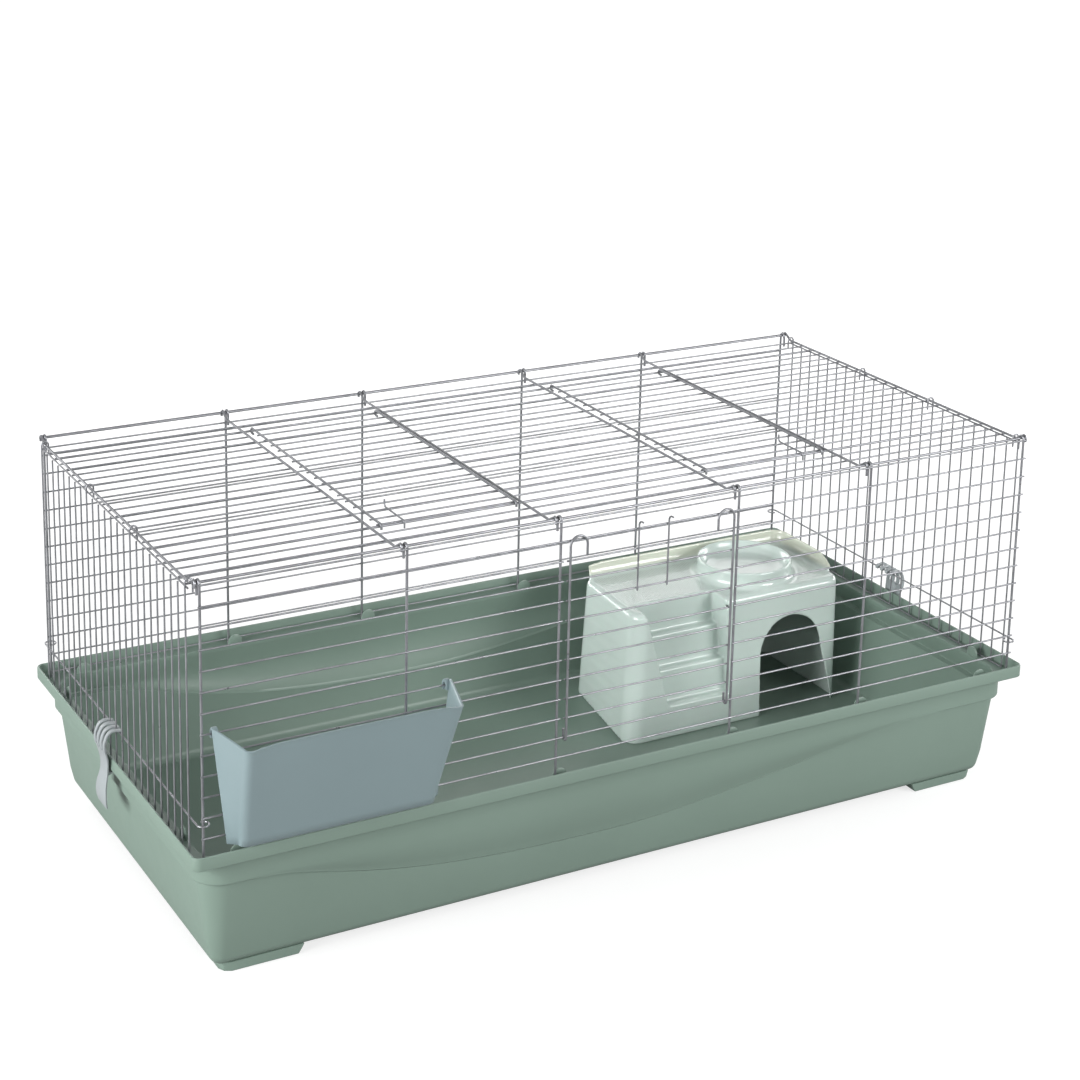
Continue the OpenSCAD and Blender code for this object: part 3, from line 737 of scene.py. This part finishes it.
def house_ring(z, inset):
    return [(x, y, z) for x, y in rounded_outline(z, inset)]


def body_rings(wall):
    """Walls, then a soft quarter-round onto the deck. wall is how far inside the skin it lies."""
    rings = [house_ring(z, wall) for z in BODY_LEVELS]
    for across, up in arc(0, 0, DECK_SOFT, (15, 30, 45, 60, 75, 90)):
        rings.append(house_ring(HOUSE_HIGH - wall - DECK_SOFT + up, wall + DECK_SOFT - across))
    return rings


def solid(name, rings):
    bm = bmesh.new()
    rows = skin(bm, rings)
    bm.faces.new(list(reversed(rows[0])))
    bm.faces.new(rows[-1])
    return new_object(name, bm)


def lathe(name, profile, cx, cy, n=72):
    turn = [360 * k / n for k in range(n)]
    return solid(name, [[(x, y, z) for x, y in arc(cx, cy, r, turn)] for r, z in profile])


def combine(target, other, operation):
    mod = target.modifiers.new("cut", "BOOLEAN")
    mod.operation = operation
    mod.solver = "EXACT"
    mod.object = other
    bake(target)
    bpy.data.objects.remove(other)


def cut_stairs(target, grow):
    """Three blocks, each reaching further back, whose left side leans with the corner pillar."""
    rise = (STAIR_TOP - STAIR_FOOT) / 3
    for i in range(3):
        depth = STAIR_BACK + STAIR_DEPTH * i + grow
        rings = []
        for z in (STAIR_FOOT + i * rise - grow, CUT_TOP):
            lean = (STAIR_TOP - z) / LEAN_HEIGHT
            x0 = STAIR_LEFT - grow + LEFT_LEAN * lean
            x1 = STAIR_RIGHT + grow + RIGHT_LEAN * lean
            rings.append([(x0, AHEAD, z), (x1, AHEAD, z), (x1, depth, z), (x0, depth, z)])
        combine(target, solid("stair", rings), "DIFFERENCE")


def flange():
    """Thin upright flange, swept round the back and the right of the deck on a wide fillet."""
    corners = house_corners(HOUSE_HIGH)
    right, back, left = corners[1][0], corners[2][1], corners[3][0]
    turn = FLANGE_TURN
    path = [(left + 9 + (right - turn - 9 - left) * k / 14, back, 0, 1) for k in range(15)]
    for x, y in arc(0, 0, 1, range(81, 0, -9)):
        path.append((right - turn + turn * x, back - turn + turn * y, x, y))
    path += [(right, back - turn + (turn - 64 - back) * k / 10, 1, 0) for k in range(11)]
    # a little lower at the left end, and down to the deck at the front end
    height = [0.86] + [1.0] * (len(path) - 4) + [0.92, 0.7, 0.3]
    rings = [[(x - nx * n, y - ny * n, HOUSE_HIGH + (z * share if z > 0 else z))
              for n, z in FLANGE] for (x, y, nx, ny), share in zip(path, height)]
    return solid("flange", rings)


def doorway():
    arch = [(43, -6), (171, -6), (145, 92)] + arc(94, 92, 51, range(9, 181, 9))
    return solid("arch", [[(x, y, z) for x, z in arch] for y in (AHEAD, -50)])


def relax_surface(obj):
    """One even mesh over all the joined shapes, with their creases softened."""
    mod = obj.modifiers.new("skin", "REMESH")
    mod.mode = "VOXEL"
    mod.voxel_size = VOXEL
    mod.use_smooth_shade = True
    relax = obj.modifiers.new("relax", "SMOOTH")
    relax.factor = 0.5
    relax.iterations = 7
    bake(obj)


def mark_surface(mesh):
    """Attributes for the material: the flat deck, and all that isn't the dish."""
    deck = mesh.attributes.new("deck", "FLOAT", "POINT")
    lip = mesh.attributes.new("lip", "FLOAT", "POINT")
    for v in mesh.vertices:
        x, y, z = (c / MM for c in v.co)
        outside = math.hypot(x - DISH_X, y - DISH_Y) > DISH_REACH
        flat_top = v.normal.z > 0.985 and abs(z - HOUSE_HIGH) < 2 and outside
        deck.data[v.index].value = 1.0 if flat_top else 0.0
        lip.data[v.index].value = 1.0 if outside else 0.0


def build_house(mat):
    outer = solid("house_moulding", body_rings(0))
    inner = solid("inner", [house_ring(-4, WALL)] + body_rings(WALL)[1:])
    cut_stairs(inner, WALL)
    combine(outer, inner, "DIFFERENCE")
    combine(outer, flange(), "UNION")
    dish = lathe("dish", [(r, HOUSE_HIGH + z) for r, z in DISH], DISH_X, DISH_Y)
    combine(outer, dish, "UNION")
    cut_stairs(outer, 0.0)
    combine(outer, doorway(), "DIFFERENCE")
    relax_surface(outer)
    mesh = outer.data
    mark_surface(mesh)
    for poly in mesh.polygons:
        poly.use_smooth = True
    mesh.transform(Matrix.Translation((HOUSE_X * MM, HOUSE_Y * MM + MID_Y, HOUSE_Z * MM)))
    finish_piece(outer, mat, "hide_house", "hide_house")


# ---- wires ------------------------------------------------------------------------------------

def finish_wires(mat):
    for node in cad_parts.values():
        if node.hide_render:
            continue
        node.data.materials.clear()
        node.data.materials.append(mat)
        for poly in node.data.polygons:
            poly.use_smooth = True
        mod = node.modifiers.new("round", "EDGE_SPLIT")
        mod.split_angle = math.radians(50)


make_camera()
make_studio()
sage = moulded_plastic("sage_plastic", (0.185, 0.255, 0.214), 0.4)
blue_grey = moulded_plastic("blue_grey_plastic", (0.22, 0.29, 0.305), 0.36)
clip_grey = moulded_plastic("clip_plastic", (0.30, 0.33, 0.34), 0.34)
build_tray(sage)
build_rack(blue_grey)
build_clip(-1, clip_grey)
build_clip(1, clip_grey)
build_house(house_plastic("mint_plastic"))
finish_wires(zinc_wire("zinc_wire"))
